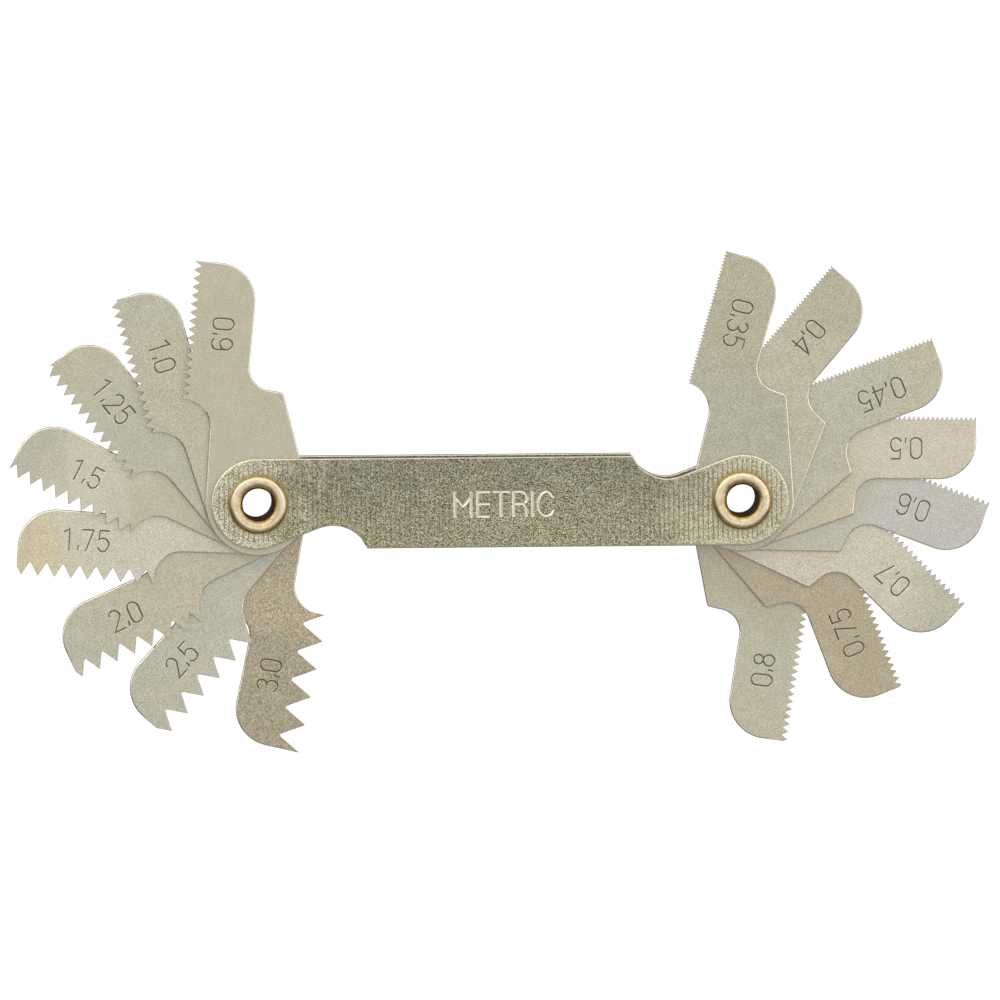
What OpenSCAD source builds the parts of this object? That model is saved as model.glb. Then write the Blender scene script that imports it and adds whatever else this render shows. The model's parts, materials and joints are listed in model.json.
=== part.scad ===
// Metric screw pitch gauge: sixteen toothed leaves turn on two tubular eyelets between two cover plates.
// Millimetres. The gauge lies flat. +X runs from the left eyelet to the right eyelet, +Y across the plates,
// +Z out of the marked front plate. The origin is midway between the eyelets, on the plane they rest on.

/* [Handle] */
// distance between the two eyelet axes
pivot_span = 51; // [50.5:0.5:60]
// width of a cover plate
plate_w = 9.54; // [9:0.02:11]
// thickness of a cover plate
plate_t = 0.8; // [0.5:0.1:1.5]
// how far the round end of a plate is centred outside the eyelet
end_shift = 0.15; // [0:0.05:0.5]
// radius of the thumb notch
notch_r = 3.95; // [3.5:0.05:4.2]
// distance of the thumb notch centre from the eyelet, along the plate
notch_x = 7.85; // [7.5:0.05:9]
// distance of the thumb notch centre from the plate's middle line
notch_y = 6.3; // [6:0.05:7]

/* [Eyelets] */
// radius of the bore through an eyelet
bore_r = 1.65; // [1.3:0.05:1.7]
// outer radius of the eyelet barrel
barrel_r = 2; // [1.9:0.05:2.3]
// outer radius of the rolled flange
flange_r = 3.1; // [2.9:0.05:3.6]
// radius of the crest of the rolled flange
crest_r = 2.5; // [2.4:0.05:2.7]
// height of the rolled flange over the plate
flange_h = 0.65; // [0.4:0.05:0.9]
// height of the upright rim at the outside of the flange
rim_h = 0.1; // [0.05:0.05:0.3]
// depth over which the mouth rolls into the bore
mouth_h = 0.5; // [0.3:0.05:0.9]
// clearance of the plate hole on the eyelet barrel, on the radius
plate_play = 0.02; // [0.01:0.01:0.05]

/* [Leaves] */
// thickness of a leaf
leaf_t = 0.5; // [0.3:0.05:0.8]
// free space between neighbouring leaves, and between the outer leaves and the plates
leaf_gap = 0.05; // [0.03:0.01:0.1]
// running clearance of a leaf on the eyelet barrel, on the radius
leaf_run = 0.05; // [0.02:0.01:0.1]
// radius of the round tail about the eyelet
tail_r = 5.5; // [5:0.05:5.6]
// distance from the eyelet axis to the tip end, along the leaf
tip_u = 24.9; // [23:0.05:25]
// where the toothed edge starts, along the leaf
start_u = 10.48; // [10:0.02:12]
// distance of the tooth pitch line from the eyelet axis, at the tip
line_n = 8.13; // [8:0.01:8.5]
// rise of the tooth pitch line towards the neck, per millimetre
line_rise = 0.022; // [0:0.002:0.04]
// neck edge on the toothed side, at the start of the teeth
neck_n = 5.65; // [5.5:0.05:6]
// radius of the hollow between the neck and the teeth
hollow_r = 3; // [2.6:0.1:3.2]
// back edge of the blade at the waist
back_n = 1.97; // [1.5:0.01:2.5]
// back edge of the blade at the tip
back_tip_n = 1.73; // [1.5:0.01:2.5]
// radius of the round corner at the tip
corner_r = 4; // [3:0.1:4.2]
// waist, where the back edge drops to the shoulder
waist_u = 12.21; // [12:0.01:13]
// radius in the waist
waist_r = 2.4; // [1.5:0.1:2.6]
// shoulder between the neck and the waist, along the leaf
shoulder_u = 11.86; // [11:0.02:12]
// shoulder, across the leaf on the back side
shoulder_n = 1.83; // [1.5:0.01:2.2]
// radius on the shoulder
shoulder_r = 0.4; // [0.2:0.05:0.6]

/* [Teeth] */
// included angle of a tooth, degrees
tooth_angle = 60; // [55:1:60]
// flat on a tooth crest, as a share of the pitch
crest_flat = 0.04; // [0.02:0.01:0.08]
// flat in a tooth root, as a share of the pitch
root_flat = 0.08; // [0.04:0.01:0.12]

/* [Hidden] */
front_plate_z = flange_h + plate_t + 8 * leaf_t + 9 * leaf_gap;
total_h = front_plate_z + plate_t + flange_h;
half_w = plate_w / 2;

// one row per leaf, front to back on each eyelet:
// node, pitch, eyelet side, layer from the front, direction in degrees, crest nearest the tip,
// extra length at the back corner and at the toothed corner of the tip
LEAVES = [
  ["leaf_0_9", 0.9, -1, 0, 85.4, 25, 0.1, 0.15],
  ["leaf_1_0", 1, -1, 1, 106.9, 24.25, 0, 0],
  ["leaf_1_25", 1.25, -1, 2, 128.5, 24.15, 0.1, 0.1],
  ["leaf_1_5", 1.5, -1, 3, 153.4, 23.77, 0.05, 0.1],
  ["leaf_1_75", 1.75, -1, 4, 176.6, 24.4, 0, 0],
  ["leaf_2_0", 2, -1, 5, 204.5, 24.35, -0.05, -0.1],
  ["leaf_2_5", 2.5, -1, 6, 228.6, 24.05, 0, 0],
  ["leaf_3_0", 3, -1, 7, 259.1, 25.25, 0.05, 0.35],
  ["leaf_0_35", 0.35, 1, 0, 75.2, 24.8, 0.05, 0.05],
  ["leaf_0_4", 0.4, 1, 1, 50.4, 24.95, 0.05, 0.1],
  ["leaf_0_45", 0.45, 1, 2, 21.4, 24.42, 0, 0],
  ["leaf_0_5", 0.5, 1, 3, 0.1, 24.85, 0, 0],
  ["leaf_0_6", 0.6, 1, 4, -19.9, 24.9, 0.05, 0.05],
  ["leaf_0_7", 0.7, 1, 5, -44.2, 24.77, 0, -0.05],
  ["leaf_0_75", 0.75, 1, 6, -68.3, 24.7, 0, 0],
  ["leaf_0_8", 0.8, 1, 7, -98.1, 24.65, 0, 0]
];

// points of an arc about c, from angle a to angle b, with chords of about 0.3 mm
function arc(c, r, a, b) =
  let (n = max(3, ceil(abs(b - a) * PI / 180 * r / 0.3)))
  [for (i = [0:n]) let (t = a + (b - a) * i / n) c + r * [cos(t), sin(t)]];

// arc that rounds the corner q between p and s
function rounded(p, q, s, r) =
  let (u = (p - q) / norm(p - q), v = (s - q) / norm(s - q), w = (u + v) / norm(u + v),
       half = acos(u * v) / 2, c = q + w * r / sin(half),
       e = q + u * r / tan(half) - c, f = q + v * r / tan(half) - c,
       a = atan2(e[1], e[0]), turn = atan2(e[0] * f[1] - e[1] * f[0], e * f))
  arc(c, r, a, a + turn);

// the left half of a cover plate, about the left eyelet: round end, sloping link and thumb notch
function plate_end() =
  let (c = [-end_shift, 0], k = [notch_x, -notch_y], d = k - c,
       t = atan2(d[1], d[0]) - acos((half_w + notch_r) / norm(d)),
       stop = asin((notch_y - half_w) / notch_r))
  concat(arc(c, half_w, 90, 360 + t), arc(k, notch_r, 180 + t, stop));

module cover_plate(z) {
  left = [for (p = plate_end()) p - [pivot_span / 2, 0]];
  translate([0, 0, z]) linear_extrude(plate_t) difference() {
    polygon(concat(left, -1 * left));
    for (s = [-1, 1]) translate([s * pivot_span / 2, 0]) circle(r = barrel_r + plate_play, $fn = 96);
  }
}

module front_plate() color([0.6, 0.59, 0.5]) cover_plate(front_plate_z);
module back_plate() color([0.55, 0.54, 0.46]) cover_plate(flange_h);

// half of the eyelet section, from the outside of the flange over the crest and down to the bore
function flange_curve() = concat(
  [for (i = [0:6]) let (t = i * 15)
    [crest_r + (flange_r - crest_r) * cos(t), rim_h + (flange_h - rim_h) * sin(t)]],
  [for (i = [1:6]) let (t = 90 + i * 15)
    [crest_r + (crest_r - bore_r) * cos(t), flange_h - mouth_h + mouth_h * sin(t)]]
);

module eyelet(side) {
  front = [for (p = flange_curve()) [p[0], total_h - flange_h + p[1]]];
  rear = [for (i = [len(front) - 1:-1:0]) [front[i][0], total_h - front[i][1]]];
  translate([side * pivot_span / 2, 0, 0]) rotate_extrude($fn = 96) polygon(concat(
    [[barrel_r, flange_h], [barrel_r, total_h - flange_h], [flange_r, total_h - flange_h]], front,
    rear, [[flange_r, flange_h]]
  ));
}

module left_eyelet() color([0.85, 0.74, 0.52]) eyelet(-1);
module right_eyelet() color([0.85, 0.74, 0.52]) eyelet(1);

// height of the toothed edge at distance u along the leaf, for pitch p and a crest at u0
function tooth_n(u, p, u0) =
  let (rise = 1 / tan(tooth_angle / 2), run = p * (1 - crest_flat - root_flat) / 2,
       q = (u - u0) / p, d = abs(q - round(q)) * p)
  line_n + line_rise * (tip_u - u) + rise * (run / 2 - min(run, max(0, d - p * crest_flat / 2)));

// the toothed edge, from the tip at distance end back to the start of the teeth
function toothed_edge(p, u0, end) =
  let (c = crest_flat / 2, r = root_flat / 2, tooth = [c, -c, r - 0.5, -r - 0.5],
    us = [for (i = [-1:ceil((u0 - start_u) / p) + 1]) for (k = tooth) u0 + (k - i) * p],
    inner = [for (u = us) if (u < end - 0.01 && u > start_u + 0.01) u])
  [for (u = concat([end], inner, [start_u])) [u, tooth_n(u, p, u0)]];

// outline of a leaf along +x with its teeth on the +y side
function leaf_outline(p, u0, back_end, toothed_end) =
  let (shoulder = [shoulder_u, -shoulder_n], waist = [waist_u, back_n], heel = [back_end, back_tip_n],
       corner = [toothed_end, tooth_n(toothed_end, p, u0)], crook = [start_u, neck_n],
       from_a = atan2(neck_n, start_u) + acos(tail_r / norm(crook)),
       to_a = 360 + atan2(-shoulder_n, shoulder_u) - acos(tail_r / norm(shoulder)),
       stop_n = min(line_n, tooth_n(start_u, p, u0)),
       hollow = rounded([start_u, line_n + 2], crook, tail_r * [cos(from_a), sin(from_a)], hollow_r))
  concat(
    arc([0, 0], tail_r, from_a, to_a),
    rounded(tail_r * [cos(to_a), sin(to_a)], shoulder, waist, shoulder_r),
    rounded(shoulder, waist, heel, waist_r),
    rounded(waist, heel, corner, corner_r),
    toothed_edge(p, u0, toothed_end),
    [for (q = hollow) if (q[1] < stop_n) q]
  );

module leaf(i) {
  row = LEAVES[i];
  z = front_plate_z - (row[3] + 1) * (leaf_t + leaf_gap);
  translate([row[2] * pivot_span / 2, 0, z]) rotate(row[4]) linear_extrude(leaf_t) difference() {
    polygon(leaf_outline(row[1], row[5], tip_u + row[6], tip_u + row[7]));
    circle(r = barrel_r + leaf_run, $fn = 96);
  }
}

module leaf_0_9() color([0.75, 0.72, 0.63]) leaf(0);
module leaf_1_0() color([0.76, 0.72, 0.64]) leaf(1);
module leaf_1_25() color([0.7, 0.7, 0.63]) leaf(2);
module leaf_1_5() color([0.75, 0.72, 0.65]) leaf(3);
module leaf_1_75() color([0.74, 0.73, 0.67]) leaf(4);
module leaf_2_0() color([0.76, 0.7, 0.62]) leaf(5);
module leaf_2_5() color([0.66, 0.69, 0.65]) leaf(6);
module leaf_3_0() color([0.65, 0.6, 0.52]) leaf(7);
module leaf_0_35() color([0.68, 0.67, 0.58]) leaf(8);
module leaf_0_4() color([0.72, 0.69, 0.6]) leaf(9);
module leaf_0_45() color([0.69, 0.69, 0.61]) leaf(10);
module leaf_0_5() color([0.75, 0.72, 0.65]) leaf(11);
module leaf_0_6() color([0.7, 0.71, 0.71]) leaf(12);
module leaf_0_7() color([0.75, 0.75, 0.69]) leaf(13);
module leaf_0_75() color([0.69, 0.64, 0.55]) leaf(14);
module leaf_0_8() color([0.7, 0.7, 0.63]) leaf(15);

front_plate();
back_plate();
left_eyelet();
right_eyelet();
leaf_0_9();
leaf_1_0();
leaf_1_25();
leaf_1_5();
leaf_1_75();
leaf_2_0();
leaf_2_5();
leaf_3_0();
leaf_0_35();
leaf_0_4();
leaf_0_45();
leaf_0_5();
leaf_0_6();
leaf_0_7();
leaf_0_75();
leaf_0_8();
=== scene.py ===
"""Looks of a metric screw pitch gauge: sixteen stamped leaves and two cover plates on two brass eyelets.

Each piece is a finer shape made from its CAD node's own outline, with rolled edges and real stamped grooves.
Lengths in this script are millimetres, turned into metres where a mesh, light or camera is made.
"""

import json
import math
import random

import bpy
import numpy as np
from mathutils import Matrix, Vector, geometry


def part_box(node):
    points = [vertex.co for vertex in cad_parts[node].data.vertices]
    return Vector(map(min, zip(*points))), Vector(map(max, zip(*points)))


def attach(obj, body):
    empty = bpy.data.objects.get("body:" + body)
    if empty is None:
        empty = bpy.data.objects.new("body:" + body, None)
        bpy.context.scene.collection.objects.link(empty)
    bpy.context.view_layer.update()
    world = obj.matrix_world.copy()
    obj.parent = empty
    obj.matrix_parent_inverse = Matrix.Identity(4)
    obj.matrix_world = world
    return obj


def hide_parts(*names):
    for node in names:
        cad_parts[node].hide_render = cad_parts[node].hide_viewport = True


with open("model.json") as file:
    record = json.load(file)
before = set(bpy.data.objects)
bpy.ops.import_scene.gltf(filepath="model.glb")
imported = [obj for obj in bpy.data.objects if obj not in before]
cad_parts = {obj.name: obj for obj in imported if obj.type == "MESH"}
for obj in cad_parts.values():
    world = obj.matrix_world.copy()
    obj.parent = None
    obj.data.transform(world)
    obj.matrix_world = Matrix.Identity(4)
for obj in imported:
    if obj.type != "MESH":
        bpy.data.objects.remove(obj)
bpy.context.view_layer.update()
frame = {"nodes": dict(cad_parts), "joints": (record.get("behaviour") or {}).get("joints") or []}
MM = 0.001

# ---------------------------------------------------------------- sizes and tables

PIVOT_X = abs((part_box("left_eyelet")[0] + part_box("left_eyelet")[1]).x) / 2 / MM  # eyelet axis to the middle
CLOSED_ANGLE = {"left": -11, "right": 169}  # where a leaf points at its hinge's lower limit, folded
LEAF_ROLL = 0.14  # radius of the rolled border of a leaf
TOOTH_ROLL = 0.02  # the same on the teeth, as a share of the pitch
TOOTH_ROLL_LIMIT = 0.034  # and no more than this, so that the narrowest crest keeps its flat
TEETH_FROM = 6.2  # distance from the leaf's middle line beyond which its border is teeth
PLATE_ROLL = 0.15
HOLE_ROLL = 0.03
ROLL_STEPS = 4

GROOVE_STEP = 0.3  # longest stretch of a groove between two mesh points
DIGIT_W, DIGIT_H = 1.17, 2.2
DIGIT_STEP, COMMA_STEP = 1.62, 0.5
DIGIT_HALF_WIDTH, DIGIT_DEPTH = 0.12, 0.07
LETTER_HALF_WIDTH, LETTER_DEPTH = 0.21, 0.1

RIB_STEP = 0.515
RIB_HALF_WIDTH, RIB_DEPTH = 0.13, 0.03
RIB_MARGIN = 0.3  # from the plate's border to the ends of the ribs
EYELET_COVER = 2.6  # ribs stop under the eyelet flange

# pitch text, centre of the text along and across the leaf, tints from the pivot to the tip
LEAVES = {
    "leaf_0_9": ("0,9", 17.55, 5.0, "beige", "beige", "beige"),
    "leaf_1_0": ("1,0", 17.85, 5.0, "beige", "beige", "green"),
    "leaf_1_25": ("1,25", 17.9, 5.1, "green", "green", "beige"),
    "leaf_1_5": ("1,5", 17.5, 5.2, "beige", "pale", "green"),
    "leaf_1_75": ("1,75", 17.8, 4.9, "pale", "pale", "straw"),
    "leaf_2_0": ("2,0", 17.6, 5.1, "beige", "beige", "green"),
    "leaf_2_5": ("2,5", 17.7, 5.0, "blue", "blue", "green"),
    "leaf_3_0": ("3,0", 17.8, 4.7, "brown", "umber", "umber"),
    "leaf_0_35": ("0,35", 17.8, 5.0, "grey", "olive", "olive"),
    "leaf_0_4": ("0,4", 17.7, 5.3, "beige", "beige", "olive"),
    "leaf_0_45": ("0,45", 17.8, 4.7, "green", "green", "beige"),
    "leaf_0_5": ("0,5", 17.45, 5.1, "peach", "rose", "rose"),
    "leaf_0_6": ("0,6", 17.5, 5.1, "blue", "lilac", "lilac"),
    "leaf_0_7": ("0,7", 17.6, 4.9, "rose", "pale", "green"),
    "leaf_0_75": ("0,75", 17.5, 5.1, "brown", "brown", "brown"),
    "leaf_0_8": ("0,8", 17.75, 4.9, "olive", "green", "beige"),
}

STEEL_METALLIC, BRASS_METALLIC = 0.95, 0.85  # below 1, for the thin passivation and tarnish on the metal

# leaves with a stronger grain than the others
COARSE = {"leaf_3_0": 1.9, "leaf_0_35": 1.4, "leaf_0_75": 1.5}

# finish of the passivated steel, as the brightness of red, green and blue
TINTS = {
    "beige": (0.63, 0.59, 0.445),
    "peach": (0.67, 0.6, 0.45),
    "green": (0.605, 0.592, 0.46),
    "olive": (0.57, 0.535, 0.395),
    "pale": (0.73, 0.695, 0.56),
    "blue": (0.61, 0.6, 0.49),
    "grey": (0.55, 0.535, 0.42),
    "straw": (0.75, 0.665, 0.45),
    "brown": (0.55, 0.475, 0.335),
    "umber": (0.48, 0.42, 0.3),
    "rose": (0.745, 0.685, 0.555),
    "lilac": (0.655, 0.64, 0.575),
}


# ---------------------------------------------------------------- stamped characters

def bow(cx, cy, rx, ry, start, stop, steps=9):
    """Points along part of an ellipse, angles in degrees."""
    angles = [math.radians(start + (stop - start) * i / steps) for i in range(steps + 1)]
    return [(cx + rx * math.cos(a), cy + ry * math.sin(a)) for a in angles]


# strokes in a box one wide and one high
SIX = [bow(0.5, 0.74, 0.5, 0.26, 35, 180) + bow(0.5, 0.3, 0.5, 0.3, 180, 540, 16)]
DIGITS = {
    "0": [bow(0.5, 0.75, 0.5, 0.25, 0, 180) + bow(0.5, 0.25, 0.5, 0.25, 180, 360) + [(1, 0.75)]],
    "1": [[(0.15, 0.86), (0.62, 1), (0.62, 0)]],
    "2": [bow(0.5, 0.74, 0.48, 0.26, 165, -25) + [(0, 0), (1, 0)]],
    "3": [bow(0.5, 0.77, 0.44, 0.23, 155, -90) + bow(0.5, 0.27, 0.5, 0.27, 90, -155)],
    "4": [[(0.8, 0), (0.8, 1), (0, 0.28), (1, 0.28)]],
    "5": [[(0.95, 1), (0.16, 1), (0.1, 0.56)] + bow(0.48, 0.32, 0.5, 0.32, 120, -150, 14)],
    "6": SIX,
    "7": [[(0, 1), (1, 1), (0.35, 0)]],
    "8": [bow(0.5, 0.77, 0.42, 0.23, -90, 270, 16), bow(0.5, 0.27, 0.5, 0.27, 90, 450, 16)],
    "9": [[(1 - x, 1 - y) for x, y in stroke] for stroke in SIX],
    ",": [[(0.08, 0.23), (0.03, 0.03)]],
}

# strokes in millimetres about the plate's centre
BASE, CAP = -1.42, 1.15
METRIC = [
    [(-4.77, BASE), (-4.77, CAP)],
    [(-4.7, 0.62), (-3.92, -0.34), (-3.14, 0.62)],
    [(-3.06, CAP), (-3.06, BASE)],
    [(-1.19, CAP), (-2.38, CAP), (-2.38, BASE), (-1.19, BASE)],
    [(-2.38, -0.12), (-1.27, -0.12)],
    [(-0.69, CAP), (0.91, CAP)],
    [(0.08, CAP), (0.08, BASE)],
    [(1.42, BASE), (1.42, CAP), (2.16, CAP)] + bow(2.16, 0.52, 0.66, 0.64, 80, -90) + [(1.42, -0.12)],
    bow(2.11, -0.77, 0.66, 0.65, 90, 0) + [(2.77, BASE)],
    [(3.4, CAP), (3.4, BASE)],
    bow(4.84, -0.13, 0.84, 1.29, 33, 326, 20),
]


def text_strokes(text):
    """Strokes of a pitch number, centred on the origin."""
    strokes, x = [], 0
    for sign in text:
        strokes += [[(x + DIGIT_W * a, DIGIT_H * b) for a, b in stroke] for stroke in DIGITS[sign]]
        x += COMMA_STEP if sign == "," else DIGIT_STEP
    middle = (x - DIGIT_STEP + DIGIT_W) / 2
    return [[(a - middle, b - DIGIT_H / 2) for a, b in stroke] for stroke in strokes]


class Groove:
    """A V groove along a line, as deep at each point of the line as that share of its full depth."""

    def __init__(self, kind, line, half_width, full_depth, shares=None):
        self.kind, self.half_width, self.full_depth = kind, half_width, full_depth
        self.line, self.shares = [], []
        for point, share in zip(line, shares or [1] * len(line)):
            self.lead_to(Vector(point), share)

    def lead_to(self, point, share):
        """Carries the line on to a point in steps short enough for grooves that cross or run side by side."""
        if not self.line:
            self.line, self.shares = [point], [share]
            return
        start, start_share = self.line[-1], self.shares[-1]
        steps = math.ceil((point - start).length / GROOVE_STEP - 0.01)
        for i in range(1, steps + 1):
            self.line.append(start.lerp(point, i / steps))
            self.shares.append(start_share + (share - start_share) * i / steps)

    def outline(self):
        """Lines that a mesh needs for this groove: its middle, its two borders and its round ends."""
        closed = (self.line[0] - self.line[-1]).length < 1e-6
        n = len(self.line)
        sides = []
        for i, p in enumerate(self.line):
            before = self.line[i - 1] if i else (self.line[-2] if closed else p)
            after = self.line[i + 1] if i < n - 1 else (self.line[1] if closed else p)
            way = (p - before).normalized() + (after - p).normalized()
            side = Vector((-way.y, way.x)).normalized()
            bend = side.dot(Vector((-(after - p).y, (after - p).x)).normalized()) if after != p else 1
            sides.append(side * self.half_width / max(bend, 0.5))
        left = [p + s for p, s in zip(self.line, sides)]
        right = [p - s for p, s in zip(self.line, sides)]
        if closed:
            return [self.line, left, right]
        return [self.line, left, right, self.cap(0, 1), self.cap(-1, -2)]

    def cap(self, end, inner):
        p = self.line[end]
        out = (p - self.line[inner]).normalized()
        side = Vector((-out.y, out.x))
        turns = [math.radians(a) for a in (90, 45, 0, -45, -90)]
        return [p + (out * math.cos(a) + side * math.sin(a)) * self.half_width for a in turns]


def relief(points, grooves):
    """Depth pressed into the face at each point, and how far each kind of groove marks it, from 0 to 1."""
    points = np.array(points, float).reshape(-1, 2)
    depth = np.zeros(len(points))
    marks = {"mark": np.zeros(len(points)), "rib": np.zeros(len(points))}
    for groove in grooves:
        for a, b, share_a, share_b in zip(groove.line, groove.line[1:], groove.shares, groove.shares[1:]):
            a, b = np.array(a), np.array(b)
            along = np.clip(((points - a) @ (b - a)) / ((b - a) @ (b - a)), 0, 1)
            gap = np.linalg.norm(points - a - along[:, None] * (b - a), axis=1)
            near = np.clip(1 - gap / groove.half_width, 0, 1)
            here = near * (share_a + (share_b - share_a) * along)
            depth = np.maximum(depth, here * groove.full_depth)
            marks[groove.kind] = np.maximum(marks[groove.kind], here)
    return depth, marks


# ---------------------------------------------------------------- stamped sheet shapes

def border_loops(node):
    """Loops round a flat CAD part's front face, the material on their left, the longest first."""
    mesh = frame["nodes"][node].data
    front = max(v.co.z for v in mesh.vertices) - 1e-6
    edges = set()
    for face in mesh.polygons:
        corners = [mesh.vertices[i].co for i in face.vertices]
        if min(c.z for c in corners) < front:
            continue
        keys = [(round(c.x / MM, 4), round(c.y / MM, 4)) for c in corners]
        for a, b in zip(keys, keys[1:] + keys[:1]):
            if (b, a) in edges:
                edges.remove((b, a))
            else:
                edges.add((a, b))
    after = dict(sorted(edges))
    loops = []
    while after:
        start = min(after)
        loop, here = [start], after.pop(start)
        while here != start:
            loop.append(here)
            here = after.pop(here)
        loops.append([Vector(p) for p in loop])
    return sorted(loops, key=len, reverse=True)


def mitres(loop):
    """At each corner, the vector that moves both its edges inward by 1."""
    found = []
    for i, p in enumerate(loop):
        a, b = (p - loop[i - 1]).normalized(), (loop[(i + 1) % len(loop)] - p).normalized()
        na, nb = Vector((-a.y, a.x)), Vector((-b.y, b.x))
        found.append((na + nb) / (1 + na.dot(nb)))
    return found


def inset(loop, distance):
    return [p + m * distance for p, m in zip(loop, mitres(loop))]


def inside(points, loops):
    """True for each point that lies in the material between the loops."""
    x, y = points[:, 0], points[:, 1]
    odd = np.zeros(len(points), bool)
    for loop in loops:
        for a, b in zip(loop, loop[1:] + loop[:1]):
            if a.y == b.y:
                continue
            crosses = (a.y > y) != (b.y > y)
            odd ^= crosses & (x < a.x + (y - a.y) * (b.x - a.x) / (b.y - a.y))
    return odd


class Shell:
    """Points and faces of one piece, in millimetres, with what its material reads at each point."""

    def __init__(self):
        self.points, self.faces, self.smooth = [], [], []
        self.marks = {"mark": [], "rib": [], "edge": []}

    def add(self, point, **marks):
        self.points.append(point)
        for kind, values in self.marks.items():
            values.append(marks.get(kind, 0.0))
        return len(self.points) - 1

    def join(self, ring, next_ring):
        """Quads between two closed rings of point numbers."""
        n = len(ring)
        for i in range(n):
            j = (i + 1) % n
            self.faces.append((ring[i], ring[j], next_ring[j], next_ring[i]))
            self.smooth.append(True)

    def face(self, rings, z, facing, grooves):
        """Triangles across the piece inside its border rings, with grooves pressed in.

        facing is 1 for the front and -1 for the rear.
        """
        points, lines, known = [], [], []
        for ring in rings:
            start = len(points)
            points += [Vector(self.points[i][:2]) for i in ring]
            known += ring
            lines += [(start + i, start + (i + 1) % len(ring)) for i in range(len(ring))]
        for groove in grooves:
            for line in groove.outline():
                start = len(points)
                points += line
                lines += [(start + i, start + i + 1) for i in range(len(line) - 1)]
        made, _, triangles, origins, _, _ = geometry.delaunay_2d_cdt(points, lines, [], 0, 1e-5)
        depths, marks = relief([p[:] for p in made], grooves)
        numbers = []
        for i, p in enumerate(made):
            border = [known[k] for k in origins[i] if k < len(known)]
            here = {kind: float(values[i]) for kind, values in marks.items()}
            numbers.append(border[0] if border else self.add((p.x, p.y, z - facing * depths[i]), **here))
        middles = np.array([sum((made[i] for i in t), Vector((0, 0)))[:] for t in triangles]) / 3
        loops = [[Vector(self.points[i][:2]) for i in ring] for ring in rings]
        for triangle, kept in zip(triangles, inside(middles, loops)):
            if kept:
                corners = [numbers[i] for i in triangle]
                self.faces.append(tuple(corners if facing > 0 else reversed(corners)))
                self.smooth.append(False)

    def build(self, name):
        mesh = bpy.data.meshes.new(name)
        mesh.from_pydata([(x * MM, y * MM, z * MM) for x, y, z in self.points], [], self.faces)
        for kind, values in self.marks.items():
            mesh.attributes.new(kind, "FLOAT", "POINT").data.foreach_set("value", values)
        mesh.update()
        mesh.set_sharp_from_angle(angle=math.radians(30))
        mesh.polygons.foreach_set("use_smooth", self.smooth)
        mesh.validate()
        piece = bpy.data.objects.new(name, mesh)
        bpy.context.scene.collection.objects.link(piece)
        return piece


def sheet_piece(name, node, roll, front_grooves, rear_grooves=()):
    """A stamped sheet on a CAD node's outline.

    roll(point, loop number) is the radius of its rolled border there.
    """
    low, high = (corner.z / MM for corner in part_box(node))
    turns = [math.pi / 2 * k / ROLL_STEPS for k in range(ROLL_STEPS + 1)]
    shell, rear, front = Shell(), [], []
    for number, loop in enumerate(border_loops(node)):
        radii = [roll(p, number) for p in loop]
        corners = list(zip(loop, mitres(loop), radii))
        levels = [(low, 1, a) for a in turns] + [(high, -1, a) for a in reversed(turns)]
        rings = []
        for face_z, into, a in levels:
            ring = []
            for p, m, r in corners:
                q = p + m * r * (1 - math.sin(a))
                z = face_z + into * r * (1 - math.cos(a))
                ring.append(shell.add((q.x, q.y, z), edge=a / (math.pi / 2)))
            rings.append(ring)
        for ring, next_ring in zip(rings, rings[1:]):
            shell.join(ring, next_ring)
        rear.append(rings[0])
        front.append(rings[-1])
    shell.face(front, high, 1, front_grooves)
    shell.face(rear, low, -1, list(rear_grooves))
    return shell.build(name)


# ---------------------------------------------------------------- leaves

def leaf_place(node):
    """(pivot, direction in degrees) of a leaf at rest, from its hinge."""
    joint = next(j for j in frame["joints"] if j["child"] == node)
    pivot = Vector(joint["pos_m"]) / MM
    side = "left" if pivot.x < 0 else "right"
    return pivot, CLOSED_ANGLE[side] - joint["range_deg"][0]


def leaf_piece(node):
    text, mark_u, mark_n, *tints = LEAVES[node]
    pitch = float(text.replace(",", "."))
    pivot, direction = leaf_place(node)
    turn = Matrix.Rotation(math.radians(direction), 2)
    unturn = turn.inverted()

    def roll(p, number):
        across = (unturn @ (p - pivot.xy)).y
        if number:
            return HOLE_ROLL
        return min(TOOTH_ROLL * pitch, TOOTH_ROLL_LIMIT) if across > TEETH_FROM else LEAF_ROLL

    grooves = []
    for stroke in text_strokes(text):
        # the numbers are read from the tip, with their feet towards the teeth
        line = [pivot.xy + turn @ Vector((mark_u - x, mark_n - y)) for x, y in stroke]
        grooves.append(Groove("mark", line, DIGIT_HALF_WIDTH, DIGIT_DEPTH))
    piece = sheet_piece(node.replace("leaf", "steel_leaf"), node, roll, grooves)
    piece.data.materials.append(leaf_steel(node, pivot, direction, tints))
    return piece


# ---------------------------------------------------------------- cover plates

def rib_strength(x):
    """The ribs are crisp at the right end, softer on the left half and nearly worn away between."""
    right, left = min(max((x - 8) / 12, 0), 1), min(max((-x - 3) / 6, 0), 1)
    return 0.15 + 0.85 * right + 0.6 * left


def crossings(loop, x):
    found = []
    for a, b in zip(loop, loop[1:] + loop[:1]):
        if (a.x > x) != (b.x > x):
            found.append(a.y + (x - a.x) * (b.y - a.y) / (b.x - a.x))
    return sorted(found)


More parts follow.
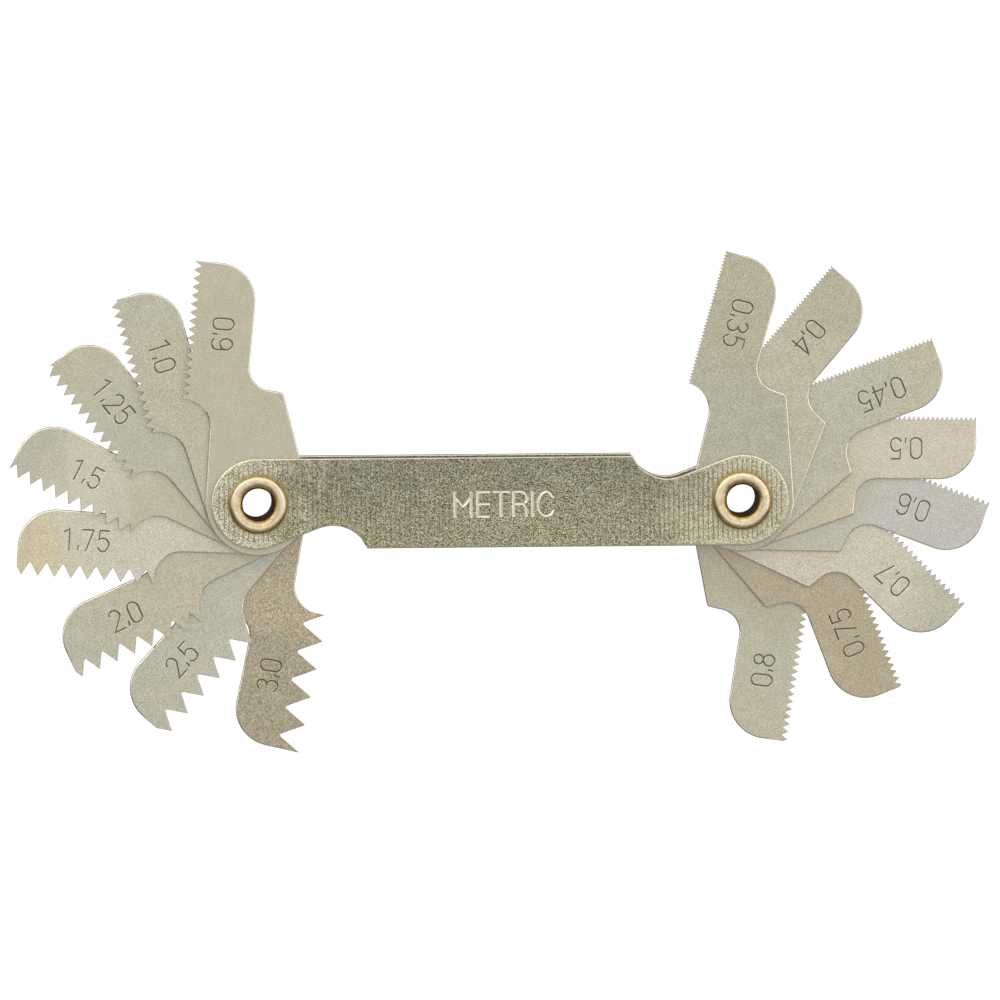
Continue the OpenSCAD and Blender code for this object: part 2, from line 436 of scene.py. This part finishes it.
def plate_ribs(node, seed, mirrored=False):
    """Fine ribs across a cover plate, worn unevenly, that stop short of its border and under the eyelets."""
    rng = random.Random(seed)
    loop = inset(border_loops(node)[0], RIB_MARGIN + 0.02)
    half_count = int(30 / RIB_STEP)
    ribs = []
    for k in range(-half_count, half_count + 1):
        x = (k + 0.5) * RIB_STEP + rng.uniform(-0.02, 0.02)
        ends = crossings(loop, x)
        for low, high in zip(ends[::2], ends[1::2]):
            from_eyelet = abs(abs(x) - PIVOT_X)
            cover = math.sqrt(EYELET_COVER**2 - from_eyelet**2) if from_eyelet < EYELET_COVER else 0
            spans = [(low, -cover), (cover, high)] if cover else [(low, high)]
            for a, b in spans:
                if b - a < 1.2:
                    continue
                share = rib_strength(-x if mirrored else x) * rng.uniform(0.75, 1)
                line = [(x, a + 0.1), (x, a + 0.5), (x, b - 0.3), (x, b)]
                ribs.append(Groove("rib", line, RIB_HALF_WIDTH, RIB_DEPTH, [0, share, share, 0]))
    return ribs


def plate_piece(name, node, seed, ribbed_face, lettering=()):
    letters = [Groove("mark", line, LETTER_HALF_WIDTH, LETTER_DEPTH) for line in lettering]
    ribs = plate_ribs(node, seed, mirrored=ribbed_face == "rear")
    front, rear = (ribs + letters, []) if ribbed_face == "front" else (letters, ribs)
    piece = sheet_piece(name, node, lambda p, number: HOLE_ROLL if number else PLATE_ROLL, front, rear)
    piece.data.materials.append(plate_steel(name))
    return piece


# ---------------------------------------------------------------- eyelets

BORE_R, BARREL_R, CREST_R, FLANGE_R = 1.65, 2, 2.5, 3.1
FLANGE_H, RIM_H, MOUTH_H = 0.65, 0.1, 0.5
AROUND = 144


def flange_profile():
    """Half of the eyelet's section above the plate: from the rim of the flange over its crest to the bore."""
    rim = [math.radians(6 * i) for i in range(16)]
    mouth = [math.radians(90 + 6 * i) for i in range(1, 16)]
    rise, mouth_foot = FLANGE_H - RIM_H, FLANGE_H - MOUTH_H
    up = [(CREST_R + (FLANGE_R - CREST_R) * math.cos(a), RIM_H + rise * math.sin(a)) for a in rim]
    down = [(CREST_R + (CREST_R - BORE_R) * math.cos(a), mouth_foot + MOUTH_H * math.sin(a)) for a in mouth]
    return up + down


def eyelet_piece(name, node, seed):
    """A tubular rivet, turned and then set by hand: its rolled flanges are a little uneven round the ring."""
    low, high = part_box(node)
    centre, total = (low + high).xy / 2 / MM, (high.z - low.z) / MM
    front = [(r, total - FLANGE_H + h) for r, h in flange_profile()]
    rear = [(r, total - h) for r, h in reversed(front)]
    top = total - FLANGE_H
    outside = [(FLANGE_R, FLANGE_H), (BARREL_R, FLANGE_H), (BARREL_R, top), (FLANGE_R, top)]
    section = front + rear + outside
    rng = random.Random(seed)
    waves = [(n, rng.uniform(0, 6.28), rng.uniform(0.3, 1)) for n in (2, 3, 5, 7)]
    shell, rings = Shell(), []
    for r, z in section:
        ring = []
        for k in range(AROUND):
            a = 2 * math.pi * k / AROUND
            dent = sum(size * (1 + math.sin(n * a + phase)) for n, phase, size in waves) / 8
            lift = max(0, abs(z - total / 2) - total / 2 + FLANGE_H - RIM_H) / FLANGE_H
            toward_middle = math.copysign(0.03 * dent * lift, total / 2 - z)
            x, y = centre.x + r * math.cos(a), centre.y + r * math.sin(a)
            ring.append(shell.add((x, y, z + toward_middle)))
        rings.append(ring)
    for ring, next_ring in zip(rings, rings[1:] + rings[:1]):
        shell.join(ring, next_ring)
    piece = shell.build(name)
    piece.data.materials.append(eyelet_brass(name, centre))
    return piece


# ---------------------------------------------------------------- materials

class Nodes:
    """One material's node tree, with short names for what is used here."""

    def __init__(self, name, metallic):
        self.material = bpy.data.materials.new(name)
        self.material.use_nodes = True
        self.tree = self.material.node_tree
        self.shader = self.tree.nodes["Principled BSDF"]
        self.shader.inputs["Metallic"].default_value = metallic

    def make(self, kind, inputs, output=0, **settings):
        node = self.tree.nodes.new("ShaderNode" + kind)
        for key, value in settings.items():
            setattr(node, key, value)
        for key, value in inputs.items():
            if isinstance(value, bpy.types.NodeSocket):
                self.tree.links.new(value, node.inputs[key])
            else:
                node.inputs[key].default_value = value
        return node.outputs[output]

    def place(self, origin, degrees=0):
        """Object coordinates in millimetres about a point, turned to lie along a leaf."""
        where = self.make("TexCoord", {}, "Object")
        return self.make("Mapping", {
            "Vector": where, "Location": (origin.x * MM, origin.y * MM, 0),
            "Rotation": (0, 0, math.radians(degrees)), "Scale": (MM, MM, MM)}, vector_type="TEXTURE")

    def shifted(self, vector, seed):
        rng = random.Random(seed)
        jump = [rng.uniform(-900, 900) for _ in range(3)]
        return self.make("VectorMath", {0: vector, 1: jump}, operation="ADD")

    def stretched(self, vector, scale):
        return self.make("VectorMath", {0: vector, 1: scale}, operation="MULTIPLY")

    def noise(self, vector, size, detail=2, distortion=0):
        """Noise with grains about size millimetres across."""
        return self.make("TexNoise", {
            "Vector": vector, "Scale": 1 / size, "Detail": detail, "Distortion": distortion}, "Fac")

    def spread(self, value, low, high, out_low=0, out_high=1):
        return self.make("MapRange", {
            "Value": value, "From Min": low, "From Max": high, "To Min": out_low, "To Max": out_high},
            interpolation_type="SMOOTHSTEP")

    def calc(self, operation, a, b=0.0, c=0.0):
        return self.make("Math", {0: a, 1: b, 2: c}, operation=operation)

    def mix(self, share, a, b, blend="MIX"):
        if not isinstance(a, bpy.types.NodeSocket):
            a = (*a, 1)
        if not isinstance(b, bpy.types.NodeSocket):
            b = (*b, 1)
        return self.make("Mix", {0: share, 6: a, 7: b}, 2, data_type="RGBA", blend_type=blend)

    def scaled(self, colour, value):
        """The colour made brighter or darker by a number."""
        return self.make("VectorMath", {0: colour, "Scale": value}, operation="SCALE")

    def attribute(self, name):
        return self.make("Attribute", {}, "Fac", attribute_name=name)

    def axis(self, vector, name):
        return self.make("SeparateXYZ", {0: vector}, name)

    def finish(self, colour, roughness, height, depth):
        self.tree.links.new(colour, self.shader.inputs["Base Color"])
        self.tree.links.new(roughness, self.shader.inputs["Roughness"])
        bump = self.make("Bump", {"Height": height, "Strength": 1.0, "Distance": depth * MM}, "Normal")
        self.tree.links.new(bump, self.shader.inputs["Normal"])
        return self.material


def leaf_steel(node, pivot, direction, tints):
    """Zinc-passivated sheet steel with soft yellow, blue or brown clouds and fine grain, a painted highlight on
    its rolled edges and painted shade on its cut walls.
    """
    n = Nodes(node + "_steel", STEEL_METALLIC)
    local = n.place(pivot, direction)
    own = n.shifted(local, node)
    along = n.calc("MULTIPLY_ADD", n.noise(own, 5, 2, 0.6), 9.0, n.axis(local, "X"))
    # tint from the pivot to the tip, with soft stains over it
    root, middle, tip = (TINTS[t] for t in tints)
    colour = n.mix(n.spread(along, 14.5, 20), root, middle)
    colour = n.mix(n.spread(along, 22, 27), colour, tip)
    clouds = n.noise(own, 3.5, 3, 1.2)
    colour = n.mix(n.spread(clouds, 0.52, 0.72, 0, 0.35), colour, TINTS["peach"])
    colour = n.mix(n.spread(clouds, 0.45, 0.25, 0, 0.35), colour, TINTS["blue"])
    # worn patches, grain and rolling streaks
    patches = n.noise(own, 1.3, 3, 0.4)
    grain = n.noise(own, 0.2, 2)
    fine = n.noise(own, 0.1, 1)
    streaks = n.noise(n.stretched(own, (0.25, 3, 1)), 0.35, 2)
    speckle = n.calc("MULTIPLY", n.spread(grain, 0.25, 0.75, 0.95, 1.05),
                     n.spread(fine, 0.25, 0.75, 0.79, 1.21))
    speckle = n.calc("MULTIPLY_ADD", n.calc("SUBTRACT", speckle, 1), COARSE.get(node, 1.0), 1)
    shade = n.calc("MULTIPLY", n.spread(patches, 0.25, 0.75, 0.97, 1.03),
                   n.spread(streaks, 0.3, 0.7, 0.985, 1.015))
    colour = n.scaled(colour, n.calc("MULTIPLY", shade, speckle))
    # painted highlight on the rolled border, painted shade on the cut wall, and dark digits
    edge = n.attribute("edge")
    # painted highlight: the rolled border is painted bright cream all round
    colour = n.mix(n.spread(edge, 0.05, 0.25, 0, 0.9), colour, (0.97, 0.92, 0.77))
    # painted shade: the cut wall and the foot of its roll are painted dark brown, for the dark lines where a
    # leaf lies over the next
    colour = n.mix(n.spread(edge, 0.7, 0.9, 0, 0.9), colour, (0.13, 0.1, 0.06))
    # the digit grooves are painted dark, partly as dirt in them and partly as painted shade
    colour = n.mix(n.spread(n.attribute("mark"), 0.05, 0.6, 0, 0.9), colour, (0.15, 0.13, 0.09))
    roughness = n.calc("ADD", n.spread(patches, 0.3, 0.7, 0.33, 0.4), n.spread(grain, 0.3, 0.7, -0.03, 0.05))
    roughness = n.calc("SUBTRACT", roughness, n.spread(edge, 0.05, 0.3, 0, 0.1))
    height = n.calc("ADD", n.calc("MULTIPLY", grain, 0.7), n.calc("MULTIPLY", fine, 0.3))
    height = n.calc("ADD", height, n.calc("MULTIPLY", streaks, 0.5))
    return n.finish(colour, roughness, height, 0.006)


def plate_steel(name):
    """Cover plate: dull khaki passivation with a hairy grain, paler at the ends, with a painted highlight along
    its border and painted shade on its cut wall.
    """
    n = Nodes(name + "_steel", STEEL_METALLIC)
    local = n.place(Vector((0, 0, 0)))
    own = n.shifted(local, name)
    clouds = n.noise(own, 4, 3, 0.8)
    grain = n.noise(own, 0.22, 2)
    fine = n.noise(own, 0.125, 1)
    hairs = n.calc("ABSOLUTE", n.calc("SUBTRACT", n.noise(own, 0.7, 3, 0.9), 0.5))
    hair = n.spread(hairs, 0.025, 0.0)
    along = n.calc("ADD", n.axis(local, "X"), n.spread(clouds, 0.2, 0.8, -5, 5))
    across = n.calc("ADD", n.axis(local, "Y"), n.spread(clouds, 0.2, 0.8, -2, 2))
    colour = n.mix(n.spread(across, 2.5, -3.5), (0.3, 0.289, 0.2), (0.378, 0.35, 0.23))
    colour = n.mix(n.spread(along, -18, -28), colour, (0.67, 0.625, 0.45))
    colour = n.mix(n.spread(along, 13, 27), colour, (0.64, 0.6, 0.43))
    colour = n.mix(n.spread(clouds, 0.52, 0.75, 0, 0.4), colour, (0.53, 0.47, 0.28))
    colour = n.mix(n.spread(clouds, 0.46, 0.25, 0, 0.4), colour, (0.4, 0.42, 0.33))
    speckle = n.calc("MULTIPLY", n.spread(grain, 0.3, 0.7, 0.82, 1.18),
                     n.spread(fine, 0.29, 0.71, 0.05, 2.05))
    mottles = n.noise(own, 2.0, 3, 0.5)
    colour = n.mix(n.spread(mottles, 0.5, 0.75, 0, 0.5), colour, (0.22, 0.235, 0.175))
    calm = n.calc("MULTIPLY", n.spread(along, 12, 24, 1, 0.6), n.spread(along, -16, -27, 1, 0.75))
    speckle = n.calc("MULTIPLY_ADD", n.calc("SUBTRACT", speckle, 1), calm, 1)
    colour = n.scaled(colour, speckle)
    # dark ribs, broken here and there, darkened partly as dirt in their grooves and partly as painted shade,
    # and pale hairs
    rib = n.calc("MULTIPLY", n.attribute("rib"), n.spread(n.noise(own, 0.4, 2), 0.3, 0.6, 0.55, 1))
    colour = n.mix(n.spread(rib, 0.05, 0.6, 0, 0.75), colour, (0.2, 0.19, 0.12))
    colour = n.mix(n.calc("MULTIPLY", hair, 0.45), colour, (0.68, 0.64, 0.49))
    # amber halo round each eyelet
    for side in (-1, 1):
        flat = n.make("VectorMath", {0: n.stretched(local, (1, 1, 0)), 1: (side * PIVOT_X, 0, 0)}, "Value",
                      operation="DISTANCE")
        halo = n.calc("MULTIPLY", n.spread(flat, 3.5, 3.0), n.spread(clouds, 0.3, 0.6, 0.45, 0.8))
        colour = n.mix(halo, colour, (0.4, 0.31, 0.11))
    # painted highlight on the rolled border, painted shade on the cut wall, and bright lettering
    edge = n.attribute("edge")
    # painted highlight: the rolled border is painted bright cream all round
    colour = n.mix(n.spread(edge, 0.05, 0.3, 0, 0.9), colour, (0.97, 0.91, 0.73))
    # painted shade: the cut wall and the foot of its roll are painted brown
    colour = n.mix(n.spread(edge, 0.8, 0.95, 0, 0.7), colour, (0.42, 0.36, 0.26))
    colour = n.mix(n.spread(n.attribute("mark"), 0.02, 0.3, 0, 0.9), colour, (0.72, 0.67, 0.53))
    roughness = n.calc("ADD", n.spread(clouds, 0.3, 0.7, 0.36, 0.44), n.spread(grain, 0.3, 0.7, 0.06, -0.04))
    height = n.calc("ADD", n.calc("ADD", n.calc("MULTIPLY", grain, 0.5), fine), n.calc("MULTIPLY", hair, 0.4))
    return n.finish(colour, roughness, height, 0.009)


def eyelet_brass(name, centre):
    """Plated brass, cream on the crest and tarnished amber at the mouth, with painted shade: dark brown in the
    bore and a rim painted darker on its lower side.
    """
    n = Nodes(name + "_brass", BRASS_METALLIC)
    local = n.place(Vector((centre.x, centre.y, 0)))
    own = n.shifted(local, name)
    radius = n.make("VectorMath", {0: n.stretched(local, (1, 1, 0))}, "Value", operation="LENGTH")
    mottle = n.noise(own, 0.5, 3, 0.5)
    grain = n.noise(own, 0.12, 2)
    wavy = n.calc("ADD", radius, n.spread(mottle, 0.3, 0.7, -0.035, 0.035))
    # zones by distance from the axis: bore, mouth, crest and rim
    # painted shade: the bore and the inner foot of its mouth are painted dark brown
    colour = n.mix(n.spread(wavy, 1.76, 1.92), (0.15, 0.09, 0.03), (0.46, 0.31, 0.12))
    colour = n.mix(n.spread(wavy, 1.96, 2.15), colour, (0.76, 0.6, 0.35))
    colour = n.mix(n.spread(wavy, 2.2, 2.45), colour, (0.93, 0.81, 0.58))
    # painted shade: the rim is amber all round and painted darker towards its lower, near side
    rim = n.mix(n.spread(n.axis(local, "Y"), 2, -2), (0.66, 0.5, 0.26), (0.47, 0.32, 0.13))
    colour = n.mix(n.spread(wavy, 2.62, 2.9), colour, rim)
    colour = n.scaled(colour, n.calc("MULTIPLY", n.spread(mottle, 0.3, 0.7, 0.86, 1.07),
                                     n.spread(grain, 0.3, 0.7, 0.95, 1.04)))
    roughness = n.calc("ADD", n.spread(mottle, 0.3, 0.7, 0.24, 0.32), n.spread(wavy, 1.95, 1.75, 0, 0.2))
    return n.finish(colour, roughness, n.calc("ADD", mottle, n.calc("MULTIPLY", grain, 0.3)), 0.02)


# ---------------------------------------------------------------- the object


def settle(piece, body, node):
    """The piece stands for its CAD node, which it hides, and moves with the node's body."""
    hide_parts(node)
    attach(piece, body)


for leaf in LEAVES:
    settle(leaf_piece(leaf), leaf, leaf)
settle(plate_piece("steel_front_plate", "front_plate", 11, "front", METRIC), "handle", "front_plate")
settle(plate_piece("steel_back_plate", "back_plate", 12, "rear"), "handle", "back_plate")
settle(eyelet_piece("brass_left_eyelet", "left_eyelet", 3), "handle", "left_eyelet")
settle(eyelet_piece("brass_right_eyelet", "right_eyelet", 8), "handle", "right_eyelet")


# ---------------------------------------------------------------- floor, light and camera

def make_floor():
    half = 40  # metres
    corners = [(-half, -half, 0), (half, -half, 0), (half, half, 0), (-half, half, 0)]
    mesh = bpy.data.meshes.new("floor")
    mesh.from_pydata(corners, [], [(0, 1, 2, 3)])
    floor = bpy.data.objects.new("floor", mesh)
    bpy.context.scene.collection.objects.link(floor)
    paper = bpy.data.materials.new("white_paper")
    paper.use_nodes = True
    surface = paper.node_tree.nodes["Principled BSDF"].inputs
    surface["Base Color"].default_value = (0.35, 0.35, 0.35, 1)
    surface["Roughness"].default_value = 1
    surface["Specular IOR Level"].default_value = 0
    surface["Emission Color"].default_value = (1, 1, 1, 1)
    surface["Emission Strength"].default_value = 1.0  # lit from below, as a light table is
    mesh.materials.append(paper)
    floor.visible_glossy = False  # a dark stage as the metal sees it, so that its near sides stay dark


def make_softbox(name, where, width, height, radiance):
    """A soft light panel that faces the object. Its place and size are in metres."""
    light = bpy.data.lights.new(name, "AREA")
    light.shape, light.size, light.size_y = "RECTANGLE", width, height
    light.energy = radiance * math.pi * width * height
    holder = bpy.data.objects.new(name, light)
    holder.location = where
    holder.rotation_mode = "QUATERNION"
    holder.rotation_quaternion = (-Vector(where)).to_track_quat("-Z", "Y")
    holder.visible_camera = False
    bpy.context.scene.collection.objects.link(holder)


def make_lights():
    """Soft light from above, from the far side and from both ends, and a dim fill from the near side."""
    world = bpy.data.worlds.new("studio")
    world.use_nodes = True
    world.node_tree.nodes["Background"].inputs["Color"].default_value = (1, 0.96, 0.9, 1)
    world.node_tree.nodes["Background"].inputs["Strength"].default_value = 0.1
    bpy.context.scene.world = world
    make_softbox("overhead", (0.1, -0.05, 2.4), 2.4, 2.4, 0.705)
    make_softbox("far_side", (-0.1, 1.7, 1.5), 4.2, 2.2, 1.3)
    make_softbox("left_end", (-1.75, 0.8, 1.35), 2.2, 2.0, 1.25)
    make_softbox("right_end", (1.85, 0.15, 1.35), 2.2, 2.0, 1.3)
    make_softbox("near_side", (0.0, -1.9, 1.0), 4.0, 1.1, 0.42)


def make_camera():
    """A long lens nearly above the gauge, a little to its upper left, rolled half a degree."""
    lens_distance, view_width, handle_tilt = 3500 * MM, 105.2 * MM, math.radians(0.509)
    lean = Vector((-0.05, 0.06, 1))
    aim = Vector((-0.03 * MM, 0.23 * MM, 6.7 * MM))
    data = bpy.data.cameras.new("camera")
    data.lens = data.sensor_width * lens_distance * lean.length / view_width
    data.clip_start, data.clip_end = 0.05, 20
    camera = bpy.data.objects.new("camera", data)
    bpy.context.scene.collection.objects.link(camera)
    turn = (-lean).to_track_quat("-Z", "Y").to_matrix()
    right, up = turn.col[0], turn.col[1]
    roll = handle_tilt - math.atan2(up.x, right.x)
    turn = turn @ Matrix.Rotation(-roll, 3, "Z")
    camera.matrix_world = Matrix.Translation(aim + lean * lens_distance) @ turn.to_4x4()
    bpy.context.scene.camera = camera


make_floor()
make_lights()
make_camera()
bpy.context.scene.view_settings.view_transform = "Standard"
